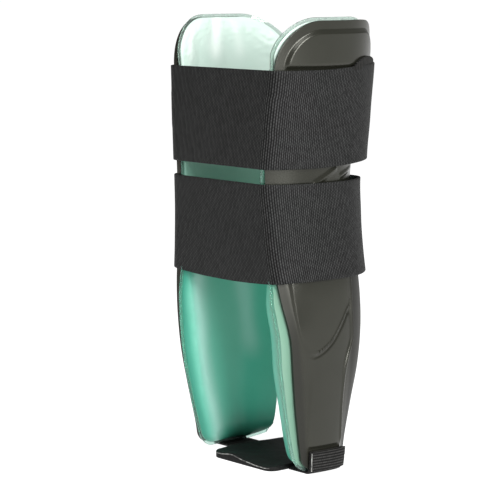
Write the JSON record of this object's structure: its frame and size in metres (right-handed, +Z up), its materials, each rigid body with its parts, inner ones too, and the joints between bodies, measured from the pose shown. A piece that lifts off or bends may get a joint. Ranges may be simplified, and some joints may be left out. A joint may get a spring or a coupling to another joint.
{
  "type": "stirrup ankle brace",
  "caption": "Stirrup ankle brace: moulded shells lined with air cells, looped by elastic straps and joined under the heel by a padded strap.",
  "frame": {"origin": "on the flat underside of the heel pad, midway between the shells, on the surface that the brace stands on", "axes": "+Z up along the leg, -Y towards the open front, +X towards the lateral shell"},
  "size_m": [0.1042, 0.0803, 0.2403],
  "materials": {
    "shell_plastic": "satin moulded",
    "vinyl": "translucent welded film",
    "elastic": "ribbed elastic webbing",
    "hook_tape": "dotted hook tape",
    "pad_fabric": "padded cloth"
  },
  "bodies": {
    "root": {"medial_shell": "shell_plastic", "lateral_shell": "shell_plastic", "medial_air_cell": "vinyl", "lateral_air_cell": "vinyl", "upper_strap": "elastic", "lower_strap": "elastic", "upper_hook_patch": "hook_tape", "heel_pad": "pad_fabric", "medial_heel_tab": "elastic", "lateral_heel_tab": "elastic"}
  },
  "joints": []
}
